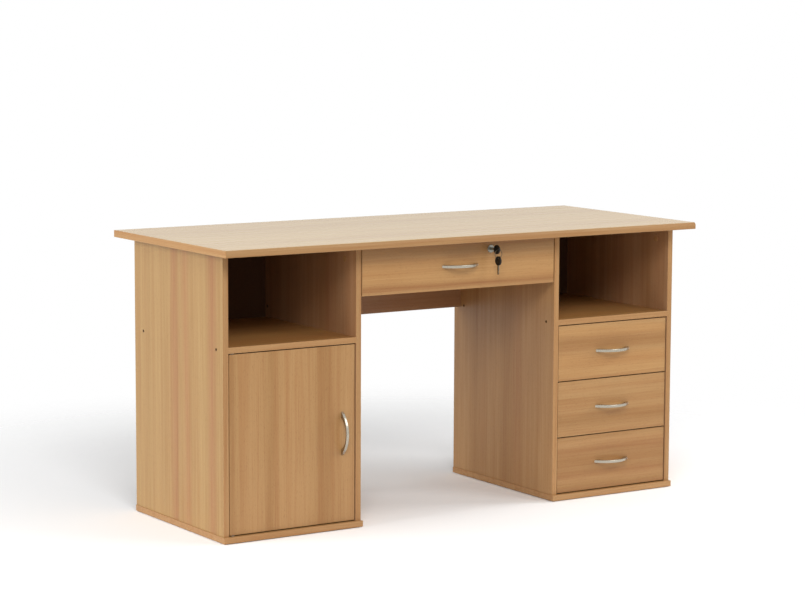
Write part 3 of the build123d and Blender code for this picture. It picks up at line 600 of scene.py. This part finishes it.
def key_blade(length):
    """A blade towards +Y, bare from the head to its tip, with cuts along its lower edge."""
    steps = len(CUTS)
    first = BLADE_IN_HEAD + 0.45 * (length - BLADE_IN_HEAD)      # plain part behind the cuts
    back = HEAD_RADIUS - BLADE_IN_HEAD
    bpy.ops.object.select_all(action="DESELECT")
    bpy.ops.mesh.primitive_cube_add(size=1.0, location=(0.0, back + first / 2, 0.0),
                                    scale=(BLADE_THICKNESS, first, BLADE_WIDTH))
    blade = bpy.context.active_object
    only(blade)
    bpy.ops.object.transform_apply(location=True, rotation=True, scale=True)
    bpy.ops.object.mode_set(mode="EDIT")
    reach, height = back + first, 1.0
    for cut in CUTS:
        select_faces(blade, lambda centre, normal: normal.y > 0.9 and abs(centre.y - reach) < 0.0001)
        step = (length - first) / steps
        bpy.ops.mesh.extrude_region_move(TRANSFORM_OT_translate={"value": (0.0, step, 0.0)})
        bpy.ops.transform.resize(value=(1.0, 1.0, cut / height), center_override=(0.0, reach, BLADE_WIDTH / 2))
        reach, height = reach + step, cut
    bpy.ops.object.mode_set(mode="OBJECT")
    use(blade, "BEVEL", width=0.00015, segments=2, limit_method="ANGLE", angle_limit=radians(50.0))
    bpy.ops.object.shade_smooth_by_angle(angle=radians(35.0))
    blade.data.materials.append(lock_nickel)
    return blade


def key(name, node, length, middle, turn):
    """Join a head and a blade, turn them about X and put the head's middle in its place."""
    head, blade = key_head(), key_blade(length)
    only(head)
    blade.select_set(True)
    bpy.ops.object.join()
    head.name = name
    head.matrix_world = Matrix.Translation(middle) @ Matrix.Rotation(turn, 4, "X")
    bpy.ops.object.transform_apply(location=True, rotation=True, scale=True)
    stand_for(head, node)
    print(name, "box:", [[round(v, 4) for v in head.bound_box[i]] for i in (0, 6)])
    return head


key_low, key_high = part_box("lock_key")
lock_middle = (key_low + key_high) / 2
key("key_in_lock", "lock_key", key_high.y - key_low.y - 2 * HEAD_RADIUS + BLADE_IN_HEAD,
    (lock_middle.x, key_low.y + HEAD_RADIUS, lock_middle.z), 0.0)
spare_low, spare_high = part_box("spare_key")
spare_middle = (spare_low + spare_high) / 2
key("hanging_key", "spare_key", spare_high.z - spare_low.z - 2 * HEAD_RADIUS + BLADE_IN_HEAD,
    (spare_middle.x, spare_middle.y, spare_high.z - HEAD_RADIUS), radians(-90.0))

# %% [markdown]
# Round plastic covers in the boards' own colour are pressed over the cams inside the pedestals. One is a
# thin cylinder with its rim bevelled; it is copied to every cam.

# %% Cam covers
COVER_THICKNESS, COVER_LIP, COVER_BEVEL = 0.0016, 0.001, 0.0005      # the lip hides the cam's hole

cam_low, cam_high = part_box("worktop_cams")
cam_z = (cam_low.z + cam_high.z) / 2
cam_radius = (cam_high.z - cam_low.z) / 2
inner_faces = [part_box("left_outer_side")[1].x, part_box("left_inner_side")[0].x,
               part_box("right_inner_side")[1].x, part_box("right_outer_side")[0].x]
covers = []
for x in inner_faces:
    for y in (cam_low.y + cam_radius, cam_high.y - cam_radius):
        bpy.ops.object.select_all(action="DESELECT")
        bpy.ops.mesh.primitive_cylinder_add(vertices=32, radius=cam_radius + COVER_LIP,
                                            depth=COVER_THICKNESS, location=(x, y, cam_z),
                                            rotation=(0.0, radians(90.0), 0.0))
        cover = bpy.context.active_object
        only(cover)
        bpy.ops.object.transform_apply(location=True, rotation=True, scale=True)
        use(cover, "BEVEL", width=COVER_BEVEL, segments=3, limit_method="ANGLE", angle_limit=radians(40.0))
        covers.append(cover)
only(covers[0])
for cover in covers[1:]:
    cover.select_set(True)
bpy.ops.object.join()
cam_covers = covers[0]
cam_covers.name = "cam_covers"
bpy.ops.object.shade_smooth_by_angle(angle=radians(35.0))
cam_covers.data.materials.append(edge_strip[Z])
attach(cam_covers, "carcass")
print("cam covers:", len(inner_faces) * 2)

# %% [markdown]
# The floor is a plain pale sheet that fades into the white studio, so that no edge or horizon shows. It
# isn't part of the desk.

# %% Floor
FLOOR_SIZE = 6.0
FADE_FROM, FADE_TO = 0.9, 2.0            # distances from the desk's middle, metres

bpy.ops.object.select_all(action="DESELECT")
bpy.ops.mesh.primitive_plane_add(size=FLOOR_SIZE, location=(0.0, 0.0, 0.0))
floor = bpy.context.active_object
floor.name = "studio_floor"
floor_paint, floor_tree, floor_shader = start("pale_studio_floor", Base_Color=linear("#FFFFFF"),
                                              Roughness=0.9)
floor_place = add(floor_tree, "TexCoord").outputs["Object"]
floor_radius = add(floor_tree, "VectorMath", {0: floor_place}, operation="LENGTH").outputs["Value"]
floor_fade = add(floor_tree, "MapRange", {"Value": floor_radius},
                 {"From Min": FADE_FROM, "From Max": FADE_TO, "To Min": 1.0, "To Max": 0.0},
                 interpolation_type="SMOOTHSTEP")
floor_tree.links.new(floor_fade.outputs["Result"], floor_shader.inputs["Alpha"])
floor.data.materials.append(floor_paint)
print("floor fades out at", FADE_TO, "m")
